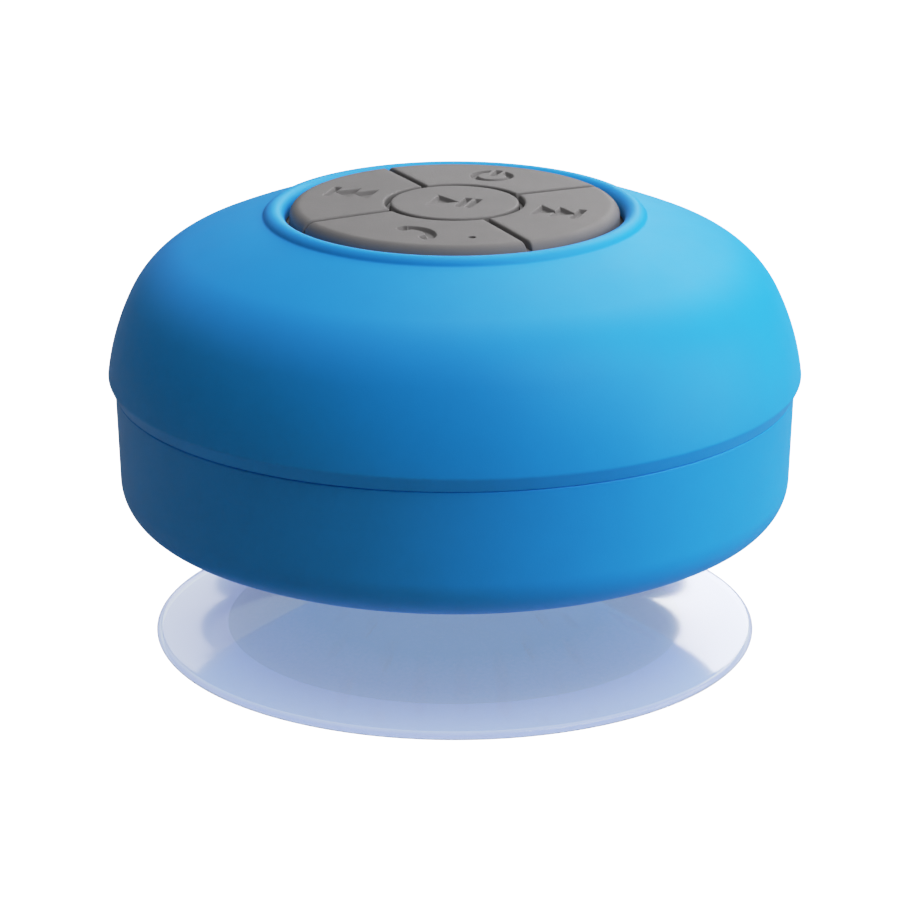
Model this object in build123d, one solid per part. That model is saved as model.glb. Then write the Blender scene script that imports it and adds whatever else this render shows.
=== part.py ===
from build123d import *
import os
from math import asin, cos, degrees, radians, sin, tan

# Round shower speaker. Millimetres. The origin is the centre of the suction cup's rim plane,
# +Z points from the wall to the keys, and -Y is the side of the answer key.

# Outside
SEAM_Z = 32.7                      # lower edge of the lip
SEAM_GAP = 0.3                     # dark line between the lip and the rear cover
BASE_Z = 13.8                      # flat underside of the rear cover
DOME_START = (23.02, 54.26)        # foot of the bead round the keys
DOME_SLOPE = 15.8                  # degrees below horizontal there
DOME_ARCS = ((78.6, 8.1), (13.55, 39.4), (29.2, 19.6), (0.8, 32.0))   # radius, degrees turned
COVER_TOP_R = 42.14                # rear cover at the seam
COVER_WAIST = (41.79, 21.2325)     # where its side starts to round into the base
COVER_SLOPE = 91.8
COVER_ARCS = ((5.33, 60.4), (25.0, 27.8))

# Walls
SKIN = 1.4                         # silicone skin
SHELL = 1.8                        # moulded inner shell
COVER = 2.0                        # moulded rear cover
SLIP = 0.1                         # room between the skin and the shell
SPIGOT = (38.2, 39.9, 30.2, 34.4)  # the shell's rim inside the cover: radii and heights
SEAL_SEAT = (40.5, 41.3, 31.7)     # groove for the seal ring

# Keys
KEYPAD_R = 20.3
KEYPAD_TOP = 55.7
CROWN_R = 900.0                    # the keypad's top is slightly domed
KEY_EDGE = 1.4                     # rounding of the keypad's outer edge
KEY_BOTTOM = 53.2
PLAY_R = 7.9
GROOVE = 0.7
RIB = 0.4                          # web that rises in each groove
RIB_TOP = 54.8
SYMBOL_R = 13.7                    # distance of the outer symbols from the centre
SYMBOL_DEPTH = 0.4
SWITCH_R = 14.0                    # distance of the outer switches from the centre
NUB_R = 1.8
NUB_BOTTOM = 50.9
MIC_AT = (7.1, -14.3)
MIC_R = 0.7                        # radius of the hole in the key
MIC_BORE_R = 0.8                   # the same hole through the web and the shell
OPENING_R = 20.6                   # hole in the skin round the keys
POCKET_R = 22.2
POCKET_FLOOR = 51.7
WEB_R = 21.9

# Electronics
BOARD_R = 27.0
BOARD = (46.2, 47.4)               # underside and top of the main board
BOSS_R = 24.3                      # distance of the board's screws from the centre
CONNECTOR_X = -22.0                # battery and driver sockets under the board
SWITCH = (47.4, 49.8)
PLUNGER = (48.7, 50.9)
BATTERY = (35.0, 25.0, 5.0)
BATTERY_Z = 38.1

# Driver, which faces the wall
FLANGE = (23.8, 24.8)
FLANGE_R = 23.5
EAR_R = 27.0
CONE_R = 18.6
COIL_R = 6.35
GASKET_Z = 22.6
PLATE = (31.0, 33.0)
MAGNET_TOP = 36.0
YOKE_TOP = 37.6

# Suction cup and its retainer
CUP_R = 37.8
LAND_R = 34.6                      # inner edge of the flat land on the rim
HOLLOW = 6.5                       # depth of the hollow under the cup
STUD_R = 4.6
HEAD = (16.6, 19.8, 6.8)           # underside, top, radius
RETAINER = (13.8, 16.2, 12.0)
RETAINER_SCREW_R = 9.6
RETAINER_ANGLES = (90, 210, 330)

# Charging socket, on the +Y side
SOCKET_Z = 26.7
WINDOW = (10.8, 6.4)
FLAP_Z = (22.7, 30.7)
FLAP_LEFT = -7.1
HINGE = (7.6, 40.6)
PIN_R = 0.4
PIN_REACH = 0.8                    # how far the pin enters the wall above and below the flap
CHARGE_SCREWS = ((-5.0, 32.6), (5.0, 32.6))
CHARGE_BOARD = (24.2, 25.2)
SHELL_SCREW_R = 31.5
QUARTERS = (0, 90, 180, 270)
CORNERS = (45, 135, 225, 315)


def heading(slope):
    return Vector(cos(radians(slope)), -sin(radians(slope)))


def inward(point, slope, distance):
    """A point of an outline that runs clockwise at this slope, moved into the body."""
    return Vector(*point) + Vector(-sin(radians(slope)), -cos(radians(slope))) * distance


def tangent_arcs(start, slope, arcs, inset=0.0):
    """Arcs that turn clockwise one after another, moved towards their centres by inset."""
    point = inward(start, slope, inset)
    edges = []
    for radius, turn in arcs:
        edges.append(JernArc(point, heading(slope), radius - inset, -turn))
        point = edges[-1] @ 1
        slope += turn
    return edges


def turned(*edges):
    """Solid of revolution about Z from a closed outline drawn as radius and height."""
    return revolve(Rot(90, 0, 0) * make_face(Curve() + list(edges)), axis=Axis.Z)


def turned_polygon(*points):
    return turned(Polyline(*points, close=True))


def ring(inner, outer, low, high):
    """Flat ring or disc about Z."""
    points = [(inner, low), (outer, low), (outer, high), (inner, high)]
    return turned_polygon(*points)


def post(radius, low, high, place=(0.0, 0.0)):
    """Upright cylinder at a place in plan."""
    body = Cylinder(radius, high - low, align=(Align.CENTER, Align.CENTER, Align.MIN))
    return Pos(place[0], place[1], low) * body


def block(size_x, size_y, low, high, place=(0.0, 0.0)):
    body = Box(size_x, size_y, high - low, align=(Align.CENTER, Align.CENTER, Align.MIN))
    return Pos(place[0], place[1], low) * body


def around(radius, angles):
    """Places in plan on a circle."""
    return [(radius * cos(radians(a)), radius * sin(radians(a))) for a in angles]


def total(shapes):
    result = shapes[0]
    for shape in shapes[1:]:
        result = result + shape
    return result


def screws(head_r, head, shank_r, shank, places):
    """Equal screws along Z, from the heights of their head and shank."""
    return [post(head_r, *head, place) + post(shank_r, *shank, place) for place in places]


def dome_solid(inset, floor):
    """The dome's outline moved inwards, turned solid down to a floor."""
    arcs = tangent_arcs(DOME_START, DOME_SLOPE, DOME_ARCS[:3], inset)
    top = arcs[0] @ 0
    edge = arcs[-1] @ 1
    close = Polyline(edge, (edge.X, floor), (0, floor), (0, top.Y), top)
    return turned(*arcs, close)


def cover_solid(inset, top):
    """The rear cover's outline moved inwards, turned solid from its floor up to a level."""
    arcs = tangent_arcs(COVER_WAIST, COVER_SLOPE, COVER_ARCS, inset)
    waist = arcs[0] @ 0
    rim_r = COVER_TOP_R - inset
    low = arcs[-1] @ 1
    close = Polyline(low, (0, low.Y), (0, top), (rim_r, top), waist)
    return turned(*arcs, close)


# --- top: skin, shell and keypad web -----------------------------------------------------

def top_skin():
    """Silicone skin with the bead round the keys and the lip over the seam."""
    outside = tangent_arcs(DOME_START, DOME_SLOPE, DOME_ARCS)
    slope = DOME_SLOPE + sum(turn for radius, turn in DOME_ARCS)
    lip = outside[-1] @ 1
    lip_end = (lip.X + (lip.Y - SEAM_Z) / tan(radians(slope)), SEAM_Z)
    inside = tangent_arcs(DOME_START, DOME_SLOPE, DOME_ARCS[:3], SKIN)
    under = inside[0] @ 0
    foot = inside[-1] @ 1
    bead = ThreePointArc((20.75, 54.5), (21.85, 55.12), DOME_START)
    close_low = Polyline(lip, lip_end, (foot.X, SEAM_Z), foot)
    close_top = Polyline(under, (OPENING_R, under.Y), (OPENING_R, 54.3), (20.75, 54.5))
    return turned(*outside, close_low, *inside, close_top, bead)


def shell_post(place):
    """Post inside the dome for a screw that holds the rear cover."""
    body = post(2.8, 28.0, 50.0, place) & dome_solid(SKIN + SLIP + 1.0, 20.0)
    return body - post(1.05, 27.0, 40.0, place)


def top_shell():
    """Moulded inner shell: dome, key pocket, spigot, screw posts."""
    inset = SKIN + SLIP
    shell = dome_solid(inset, 32.5) - dome_solid(inset + SHELL, 32.0)
    shell += ring(*SPIGOT)
    shell += ring(0, 25.2, POCKET_FLOOR - 1.5, POCKET_FLOOR)
    shell -= ring(0, POCKET_R, POCKET_FLOOR, 60.0)
    for place in [(0.0, 0.0)] + around(SWITCH_R, QUARTERS):
        shell -= post(2.4, 48.0, 53.0, place)
    shell -= post(MIC_BORE_R, 48.0, 53.0, MIC_AT)
    for place in around(BOSS_R, CORNERS):
        shell += post(2.4, BOARD[1], POCKET_FLOOR - 1.3, place)
        shell -= post(0.95, BOARD[1], POCKET_FLOOR - 2.0, place)
    for place in around(SHELL_SCREW_R, CORNERS):
        shell += shell_post(place)
    return shell


def diagonal_ribs(width, inner, outer, low, high):
    """Two bars crossed at 45 degrees, between two radii."""
    bars = Rot(0, 0, 45) * block(2 * outer, width, low, high)
    bars += Rot(0, 0, -45) * block(2 * outer, width, low, high)
    return (bars & ring(0, outer, low, high)) - ring(0, inner, low, high)


def keypad_web():
    """Grey web under the keys, with a rib in each groove and a flange held by the skin."""
    rib_r = PLAY_R + GROOVE / 2
    web = ring(0, WEB_R, POCKET_FLOOR, 52.5) + ring(20.9, WEB_R, POCKET_FLOOR, 52.8)
    web += ring(rib_r - RIB / 2, rib_r + RIB / 2, 52.5, RIB_TOP)
    web += diagonal_ribs(RIB, rib_r, KEYPAD_R - 0.3, 52.5, RIB_TOP - 0.3)
    for place in [(0.0, 0.0)] + around(SWITCH_R, QUARTERS):
        web -= post(2.2, 51.0, 53.0, place)
    return web - post(MIC_BORE_R, 51.0, 53.0, MIC_AT)


# --- keys --------------------------------------------------------------------------------

def keypad_blank():
    """All the keys as one slightly crowned cap."""
    slope = degrees(asin((KEYPAD_R - KEY_EDGE) / (CROWN_R - KEY_EDGE)))
    crown = JernArc((0, KEYPAD_TOP), (1, 0), CROWN_R, -slope)
    edge = JernArc(crown @ 1, crown % 1, KEY_EDGE, slope - 90)
    side = edge @ 1
    return turned(crown, edge, Polyline(side, (side.X, KEY_BOTTOM), (0, KEY_BOTTOM), (0, KEYPAD_TOP)))


def skip_symbol(direction):
    """Two triangles and a bar, pointing along +X or -X."""
    shape = Pos(2.4 * direction, 0) * Rectangle(0.7, 4.0)
    for back in (-2.75, -0.35):
        corners = [(back, -2.0), (back, 2.0), (back + 2.3, 0.0)]
        shape += make_face(Polyline(*[(x * direction, y) for x, y in corners], close=True))
    return shape


def play_symbol():
    """Triangle and two bars."""
    shape = make_face(Polyline((-2.75, 2.0), (-2.75, -2.0), (0.25, 0), close=True))
    for place in (1.1, 2.4):
        shape += Pos(place, 0) * Rectangle(0.65, 4.0)
    return shape


def power_symbol():
    """Broken circle with a bar in its gap."""
    circle = Circle(2.6) - Circle(1.95) - Pos(0, 2.4) * Rectangle(2.0, 2.6)
    return circle + Pos(0, 1.5) * Rectangle(0.65, 2.8)


def call_symbol():
    """Telephone handset, tilted."""
    bow = Circle(3.6) - Circle(2.6)
    bow = bow & Pos(0, 3.1) * Rectangle(4.8, 2.2)
    ends = Pos(-2.25, 1.6) * Rectangle(1.5, 1.3) + Pos(2.25, 1.6) * Rectangle(1.5, 1.3)
    return Rot(0, 0, -35) * Pos(0, -2.6) * (bow + ends)


def cut_symbol(key, symbol, place):
    """Sink a symbol into the key's top."""
    top = KEYPAD_TOP - (place[0] ** 2 + place[1] ** 2) / (2 * CROWN_R)
    tool = extrude(Pos(place[0], place[1], top - SYMBOL_DEPTH) * symbol, 2.0)
    return key - tool


def sector(angle):
    """Prism that holds one outer key, between two diagonal grooves."""
    apex = GROOVE / 2 * 2 ** 0.5
    plan = make_face(Polyline((apex, 0), (apex + 30, 30), (apex + 30, -30), close=True))
    wedge = extrude(Pos(0, 0, KEY_BOTTOM - 1) * plan, 5.0)
    return Rot(0, 0, angle) * wedge - post(PLAY_R + GROOVE, 50.0, 60.0)


def keys():
    """The five keys, each with the nub that presses its switch plunger."""
    blank = keypad_blank()
    layout = {
        "next": (0, skip_symbol(1)),
        "power": (90, power_symbol()),
        "previous": (180, skip_symbol(-1)),
        "call": (270, call_symbol()),
    }
    made = {"play": cut_symbol(blank & post(PLAY_R, 50.0, 60.0), play_symbol(), (0.0, 0.0))}
    made["play"] += post(NUB_R, NUB_BOTTOM, KEY_BOTTOM)
    for name, (angle, symbol) in layout.items():
        symbol_at = around(SYMBOL_R, [angle])[0]
        key = cut_symbol(blank & sector(angle), symbol, symbol_at)
        made[name] = key + post(NUB_R, NUB_BOTTOM, KEY_BOTTOM, around(SWITCH_R, [angle])[0])
    made["call"] -= post(MIC_R, 50.0, 60.0, MIC_AT)
    return made


# --- boards ------------------------------------------------------------------------------

def switch_places():
    names = ("next", "power", "previous", "call")
    return {"play": (0.0, 0.0), **dict(zip(names, around(SWITCH_R, QUARTERS)))}


def main_board():
    board = ring(0, BOARD_R, *BOARD)
    for place in around(BOSS_R, CORNERS):
        board -= post(1.2, 46.0, 48.0, place)
    return board


def tact_switches():
    low, high = SWITCH
    bodies = []
    for place in switch_places().values():
        bodies.append(block(6.0, 6.0, low, high, place) - post(1.75, low + 0.5, high + 1, place))
    return bodies


def board_connectors():
    """Sockets for the battery, driver and charging leads, under the main board."""
    places = [(CONNECTOR_X, -6.0), (CONNECTOR_X, 6.0), (0.0, 21.5)]
    sizes = [(3.0, 5.0), (3.0, 5.0), (5.0, 3.0)]
    return [block(*size, BOARD[0] - 2.2, BOARD[0], place) for size, place in zip(sizes, places)]


def charge_board():
    board = block(13.0, 8.5, *CHARGE_BOARD, (0.0, 34.75))
    for place in CHARGE_SCREWS:
        board -= post(1.1, 24.0, 26.0, place)
    return board


def usb_socket():
    """Stamped receptacle with its tongue, open towards +Y."""
    middle = SOCKET_Z - 0.15
    shell = Pos(0, 36.0, middle) * (Box(7.5, 5.2, 2.7) - Pos(0, 0.4, 0) * Box(6.9, 5.2, 2.1))
    return shell + Pos(0, 35.2, middle) * Box(4.0, 3.4, 0.6)


# --- driver ------------------------------------------------------------------------------

def driver_basket():
    """Pressed frame: flange with four ears, sloping wall with windows, seat for the magnet."""
    low, high = FLANGE
    basket = turned_polygon(
        (FLANGE_R, low), (FLANGE_R, high), (20.7, high), (16.6, 29.4), (14.7, 29.4),
        (14.7, PLATE[0]), (9.0, PLATE[0]), (9.0, 30.2), (13.8, 30.2), (13.8, 28.6),
        (16.0, 28.6), (19.9, 24.4), (19.9, low),
    )
    for angle in QUARTERS:
        ear = block(EAR_R - 21.0, 5.0, low, high, ((EAR_R + 21.0) / 2, 0.0))
        basket += Rot(0, 0, angle) * (ear + post(2.5, low, high, (EAR_R, 0.0)))
        basket -= Rot(0, 0, angle) * post(1.2, 20.0, 30.0, (EAR_R, 0.0))
    for angle in CORNERS:
        basket -= Rot(0, 0, angle) * block(8.0, 9.0, 25.4, 28.2, (18.5, 0.0))
    return basket


def driver_surround():
    """Rubber half roll between the frame and the cone."""
    middle, half, wall = 19.95, 1.35, 0.3
    low, high = FLANGE[0] - 0.4, FLANGE[0]
    outer = ThreePointArc((middle - half, low), (middle, low - half), (middle + half, low))
    inner = ThreePointArc(
        (middle + half - wall, low), (middle, low - half + wall), (middle - half + wall, low)
    )
    left = Polyline(outer @ 0, (17.6, low), (17.6, high), (middle - half + wall, high), inner @ 1)
    right = Polyline(outer @ 1, (23.4, low), (23.4, high), (middle + half - wall, high), inner @ 0)
    return turned(outer, right, inner, left)


def driver_spider():
    """Corrugated disc that centres the coil."""
    radii = [COIL_R + 0.25, 7.6] + [8.4 + 0.8 * i for i in range(8)] + [14.6, 16.0]
    levels = [28.4, 28.4] + [28.2 if i % 2 else 28.5 for i in range(8)] + [28.35, 28.35]
    top = [(r, z + 0.12) for r, z in zip(radii, levels)]
    bottom = [(r, z - 0.12) for r, z in zip(radii, levels)]
    return turned_polygon(*top, *reversed(bottom))


def driver_cone():
    return turned_polygon(
        (CONE_R, 23.8), (CONE_R, 24.15), (17.5, 24.15), (6.6, 27.8), (6.6, 27.42), (17.5, 23.8),
    )


def dust_cap():
    """Shallow dome over the coil."""
    outer = JernArc((0, 24.9), (1, 0), 15.7, 28.0)
    inner = JernArc((0, 25.2), (1, 0), 15.4, 28.0)
    return turned(outer, inner, Line(outer @ 0, inner @ 0), Line(outer @ 1, inner @ 1))


def driver_terminals():
    """Tag board on the frame, with its two solder tags."""
    board = block(1.0, 9.0, FLANGE[1], 29.0, (-22.4, 0.0))
    tags = [block(0.8, 1.6, 26.6, 28.4, (-23.3, y)) for y in (-2.6, 2.6)]
    return total([board] + tags)


# --- rear cover, cup and charging flap ---------------------------------------------------

def flap_band(inner, outer, left, right, low, high):
    """Piece of the rear cover's wall on the +Y side, with rounded corners."""
    outline = RectangleRounded(right - left, high - low, 1.2)
    place = Pos((left + right) / 2, (low + high) / 2)
    prism = extrude(Plane.XZ.offset(-36.0) * place * outline, -10.0)
    return ring(inner, outer, low, high) & prism


def lower_shell():
    """Rear cover with the sound holes, driver seat, cup socket and charging window."""
    top = SEAM_Z - SEAM_GAP
    shell = cover_solid(0.0, top) - cover_solid(COVER, top + 1.0)
    inside = cover_solid(COVER - 0.5, top)
    shell -= ring(*SEAL_SEAT, top + 1)
    shell += ring(0, 13.0, BASE_Z + 0.8, 19.4) + ring(0, 8.8, 19.0, 21.6)
    shell -= ring(0, RETAINER[2] + 0.2, BASE_Z - 1, RETAINER[1])
    shell -= ring(0, HEAD[2] + 0.4, RETAINER[1] - 1, HEAD[1] + 0.6)
    shell += ring(21.6, 23.4, 15.0, GASKET_Z)
    for radius, count in ((15.4, 16), (19.0, 20)):
        for place in around(radius, [i * 360.0 / count for i in range(count)]):
            shell -= post(1.1, 13.0, 17.0, place)
    for place in around(RETAINER_SCREW_R, RETAINER_ANGLES):
        shell -= post(0.85, 16.0, 19.0, place)
    for place in around(EAR_R, QUARTERS):
        shell += post(2.4, 15.0, FLANGE[0], place) - post(0.85, 17.5, FLANGE[0], place)
    for place in around(SHELL_SCREW_R, CORNERS):
        shell += post(3.3, 14.0, 28.0, place) & inside
        shell -= post(2.4, 12.0, 17.6, place) + post(1.45, 17.0, 29.0, place)
    for place in CHARGE_SCREWS:
        column = post(1.9, 14.5, CHARGE_BOARD[0], place) & inside
        shell += column - post(0.75, 18.0, 25.0, place)
    shell -= block(WINDOW[0], 10.0, SOCKET_Z - WINDOW[1] / 2, SOCKET_Z + WINDOW[1] / 2, (0.0, 41.0))
    shell -= flap_band(41.15, 45.0, FLAP_LEFT - 0.3, 9.1, FLAP_Z[0] - 0.3, FLAP_Z[1] + 0.3)
    shell -= post(1.0, FLAP_Z[0] + 0.2, FLAP_Z[1] - 0.2, HINGE)
    return shell - post(PIN_R + 0.01, FLAP_Z[0] - PIN_REACH, FLAP_Z[1] + PIN_REACH, HINGE)


def usb_cover():
    """Rubber flap with the plug that fills the window and the bead round its pin."""
    flap = flap_band(41.25, 42.35, FLAP_LEFT, HINGE[0], *FLAP_Z)
    flap += post(0.75, FLAP_Z[0] + 0.4, FLAP_Z[1] - 0.4, HINGE)
    root = Plane.XZ.offset(-41.6) * Pos(0, SOCKET_Z) * Rectangle(10.2, 5.9)
    tip = Plane.XZ.offset(-39.1) * Pos(0, SOCKET_Z) * Rectangle(9.4, 5.1)
    flap += loft([root, tip])
    return flap - post(PIN_R + 0.06, FLAP_Z[0] - 1, FLAP_Z[1] + 1, HINGE)


def cup_retainer():
    """Ring screwed under the cover, which keeps the cup's head in its socket."""
    low, high, outer = RETAINER
    body = ring(STUD_R + 0.3, outer, low, high)
    for place in around(RETAINER_SCREW_R, RETAINER_ANGLES):
        body -= post(1.1, low - 1, high + 1, place) + post(1.9, low - 1, low + 1.2, place)
    return body


def suction_cup():
    """Clear cup: flat rim land, shallow hollow, neck, stud and head."""
    upper = ThreePointArc((37.3, 1.05), (25.0, 5.15), (12.2, 8.9))
    neck = ThreePointArc((12.2, 8.9), (7.9, 10.6), (6.0, 12.4))
    rim = ThreePointArc((37.3, 0.0), (CUP_R, 0.5), (37.3, 1.05))
    hollow_r = (LAND_R ** 2 + HOLLOW ** 2) / (2 * HOLLOW)
    hollow = JernArc((0.0, HOLLOW), (1, 0), hollow_r, -degrees(asin(LAND_R / hollow_r)))
    low, high, head_r = HEAD
    stem = Polyline(
        (6.0, 12.4), (6.0, 13.3), (STUD_R, 13.3), (STUD_R, low), (head_r, low),
        (head_r, high - 0.8), (head_r - 0.8, high), (0, high), (0, HOLLOW),
    )
    return turned(upper, neck, stem, hollow, Line(hollow @ 1, (37.3, 0.0)), rim)


# --- leads -------------------------------------------------------------------------------

def lead(points, diameter=0.8):
    """Tube of straight runs joined by arcs as large as its runs allow."""
    corners = [Vector(*point) for point in points]
    radii = []
    for before, corner, after in zip(corners, corners[1:], corners[2:]):
        run_in, run_out = corner - before, after - corner
        half_turn = radians(run_in.get_angle(run_out)) / 2
        radii.append(0.45 * min(run_in.length, run_out.length) / tan(half_turn))
    path = FilletPolyline(*corners, radius=radii)
    section = Plane(origin=path @ 0, z_dir=path % 0) * Circle(diameter / 2)
    tube = sweep(section, path=path)
    expected = section.area * path.length
    print("lead radii", [round(r, 1) for r in radii], "volume ratio", round(tube.volume / expected, 4))
    return tube


def battery_leads():
    """From the cell's end to its socket."""
    ends = ((-0.8, -5.0), (-2.4, -7.0))
    return [
        lead([(-17.5, y, 40.2), (-20.4, y, 40.2), (CONNECTOR_X, pin, 41.2), (CONNECTOR_X, pin, 44.0)])
        for y, pin in ends
    ]


def speaker_leads():
    """From the driver's tags to their socket."""
    ends = ((-2.6, 5.0), (2.6, 7.0))
    return [
        lead([(-23.4, tag, 28.4), (-23.4, tag, 33.5), (CONNECTOR_X, pin, 39.0), (CONNECTOR_X, pin, 44.0)])
        for tag, pin in ends
    ]


def charge_leads():
    """From the charging board up to the main board."""
    return [
        lead([(x, 31.6, 25.2), (x, 31.6, 31.5), (x, 21.6, 38.0), (x, 21.6, 44.0)])
        for x in (-1.4, 1.4)
    ]


# --- assembly ----------------------------------------------------------------------------

def assembly():
    """Every node by name. A list is a group of equal or paired solids."""
    nodes = {
        "top_skin": top_skin(),
        "top_shell": top_shell(),
        "keypad_web": keypad_web(),
        "main_board": main_board(),
        "tact_switches": tact_switches(),
        "bluetooth_chip": block(7.0, 7.0, BOARD[0] - 0.9, BOARD[0], (8.0, -6.0)),
        "amplifier_chip": block(5.0, 4.0, BOARD[0] - 1.1, BOARD[0], (-8.0, 8.0)),
        "board_connectors": board_connectors(),
        "microphone": block(4.0, 3.0, BOARD[1], BOARD[1] + 1.1, MIC_AT),
        "mic_boot": post(1.6, 48.5, 50.2, MIC_AT) - post(0.7, 48.0, 51.0, MIC_AT),
        "board_screws": screws(1.9, (45.0, 46.2), 0.9, (46.2, 49.4), around(BOSS_R, CORNERS)),
        "battery": block(*BATTERY[:2], BATTERY_Z, BATTERY_Z + BATTERY[2]),
        "battery_pad": block(30.0, 20.0, YOKE_TOP, BATTERY_Z),
        "lower_shell": lower_shell(),
        "seal_ring": ring(40.55, 41.25, 31.7, 32.5),
        "speaker_mesh": ring(13.4, 21.2, 15.8, 16.0),
        "driver_gasket": ring(21.6, 23.4, GASKET_Z, FLANGE[0] - 0.4),
        "driver_basket": driver_basket(),
        "driver_top_plate": ring(7.2, 14.0, *PLATE),
        "driver_magnet": ring(8.5, 15.0, PLATE[1], MAGNET_TOP),
        "driver_yoke": ring(0, 6.0, PLATE[0], MAGNET_TOP) + ring(0, 14.0, MAGNET_TOP, YOKE_TOP),
        "coil_former": ring(COIL_R, COIL_R + 0.2, 26.9, 34.6),
        "voice_coil": ring(COIL_R + 0.2, COIL_R + 0.5, 30.4, 33.4),
        "driver_cone": driver_cone(),
        "dust_cap": dust_cap(),
        "driver_surround": driver_surround(),
        "driver_spider": driver_spider(),
        "driver_terminals": driver_terminals(),
        "driver_screws": screws(1.9, (24.8, 25.9), 0.8, (18.0, 24.8), around(EAR_R, QUARTERS)),
        "shell_screws": screws(2.2, (15.8, 17.6), 1.0, (17.6, 38.0), around(SHELL_SCREW_R, CORNERS)),
        "cup_retainer": cup_retainer(),
        "retainer_screws": screws(
            1.7, (13.9, 15.0), 0.8, (15.0, 18.6), around(RETAINER_SCREW_R, RETAINER_ANGLES)
        ),
        "suction_cup": suction_cup(),
        "usb_cover": usb_cover(),
        "cover_pin": post(PIN_R, FLAP_Z[0] - PIN_REACH, FLAP_Z[1] + PIN_REACH, HINGE),
        "charge_board": charge_board(),
        "usb_socket": usb_socket(),
        "charge_board_screws": screws(1.5, (25.2, 26.2), 0.7, (19.0, 25.2), CHARGE_SCREWS),
        "battery_leads": battery_leads(),
        "speaker_leads": speaker_leads(),
        "charge_leads": charge_leads(),
    }
    for name, key in keys().items():
        nodes["key_" + name] = key
    for name, place in switch_places().items():
        nodes["plunger_" + name] = post(1.6, *PLUNGER, place)
    return nodes


def save(nodes):
    os.makedirs("parts", exist_ok=True)
    for name, shape in nodes.items():
        solid = Compound(children=shape) if isinstance(shape, list) else shape
        export_step(solid, f"parts/{name}.step")


save(assembly())
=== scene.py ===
from math import asin, atan2, cos, degrees, hypot, pi, radians, sin, sqrt, tan

import bmesh
import bpy
from mathutils import Matrix, Vector


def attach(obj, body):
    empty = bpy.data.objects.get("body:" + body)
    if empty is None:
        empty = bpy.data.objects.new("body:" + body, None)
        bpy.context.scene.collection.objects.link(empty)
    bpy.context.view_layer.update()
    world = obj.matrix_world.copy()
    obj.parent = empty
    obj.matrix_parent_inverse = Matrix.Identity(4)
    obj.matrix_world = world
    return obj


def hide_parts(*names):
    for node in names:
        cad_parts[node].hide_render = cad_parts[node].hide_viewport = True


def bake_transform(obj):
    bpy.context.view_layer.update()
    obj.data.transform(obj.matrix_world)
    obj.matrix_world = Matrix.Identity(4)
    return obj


# Round shower speaker: the looks. Lengths are in millimetres until a mesh is made, in metres.
# +Z points from the wall to the keys, -Y is the side of the answer key.

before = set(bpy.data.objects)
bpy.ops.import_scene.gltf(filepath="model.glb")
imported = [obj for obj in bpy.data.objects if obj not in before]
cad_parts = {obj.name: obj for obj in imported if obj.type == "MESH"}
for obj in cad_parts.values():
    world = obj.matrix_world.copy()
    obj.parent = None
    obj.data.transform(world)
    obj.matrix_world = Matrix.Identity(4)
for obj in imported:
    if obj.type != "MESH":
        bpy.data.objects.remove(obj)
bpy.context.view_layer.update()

MM = 0.001
QUARTERS = (0, 90, 180, 270)  # degrees
AROUND = 384  # divisions of a full turn on the large round pieces
SHARP = radians(40)  # edges over this angle are shaded as edges

# Outside, as (radius, height) places and (radius, degrees turned) arcs
DOME_START = (23.02, 54.26)
DOME_SLOPE = 15.8  # degrees below horizontal at the start
DOME_ARCS = ((78.6, 8.1), (13.55, 39.4), (29.2, 19.6), (0.8, 32.0))
BEAD = (22.25, 53.62)  # centre of the round crest of the bead round the keys
BEAD_R = 1.4
BEAD_FOOT_R = 0.45  # hollow between the bead and the dome
SEAM_Z = 32.7  # lower edge of the lip
COVER_TOP = (42.14, 32.66)
COVER_WAIST = (41.79, 21.2325)  # where the cover's side starts to round into its base
COVER_SLOPE = 91.8
COVER_ARCS = ((5.33, 60.4), (25.0, 27.8))
BASE_Z = 13.8  # flat underside of the cover
SKIN = 1.4  # thickness of the silicone
WALL = 2.0  # thickness of the cover

# Keys
KEYPAD_R = 20.3
KEYPAD_TOP = 55.7
CROWN_R = 900.0  # the keypad's top is slightly domed
OUTER_EDGE = 1.4  # rounding of the keypad's outer edge
KEY_EDGE = 0.28  # rounding of the edges along the grooves
KEY_BOTTOM = 53.2
PLAY_R = 7.9
GROOVE = 0.7
SYMBOL_R = 13.7  # distance of the outer symbols from the centre
SYMBOL_DEPTH = 0.5
SYMBOL_SLOPE = 0.42  # width of a symbol's sloping wall
SYMBOL_PITCH = 0.06  # spacing of a key's points where its symbol is
PLAIN_PITCH = 0.35  # and where its top is plain
SWITCH_R = 14.0
NUB_R = 1.8  # nub under a key, over its switch
NUB_BOTTOM = 50.9
MIC_AT = (7.1, -14.3)
MIC_R = 0.42

# Underside. Screws stand on a circle of (radius, angles). A head is (radius, face, top) and a
# shank is (radius, end).
SHELL_SCREWS = (31.5, (45, 135, 225, 315))
SHELL_SCREW_HEAD = (2.2, 15.8, 17.6)
SHELL_SCREW_SHANK = (1.0, 38.0)
RETAINER_SCREWS = (9.6, (90, 210, 330))
RETAINER_SCREW_HEAD = (1.7, 13.9, 15.0)
RETAINER_SCREW_SHANK = (0.8, 18.6)
RETAINER = (4.9, 12.0, 13.8, 16.2)  # inner and outer radius, underside and top
SOUND_HOLES = ((15.4, 16), (19.0, 20))  # radius and number of each ring
SOUND_HOLE_R = 1.1
DRIVER_SCREWS = (27.0, QUARTERS)
CHARGE_SCREWS = ((-5.0, 32.6), (5.0, 32.6))
MOUTH = 0.15  # rounding of a hole's mouth

# Charging flap, on the +Y side
FLAP_Z = (22.7, 30.7)
FLAP_LEFT = -7.1
FLAP_GAP = 0.3  # between the flap and its recess
RECESS_RIGHT = 9.1
HINGE = (7.6, 40.6)
HINGE_WRAP = 42.0  # radius at which distances round the wall are true
WINDOW = (10.8, 6.4)
SOCKET_Z = 26.7

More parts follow.
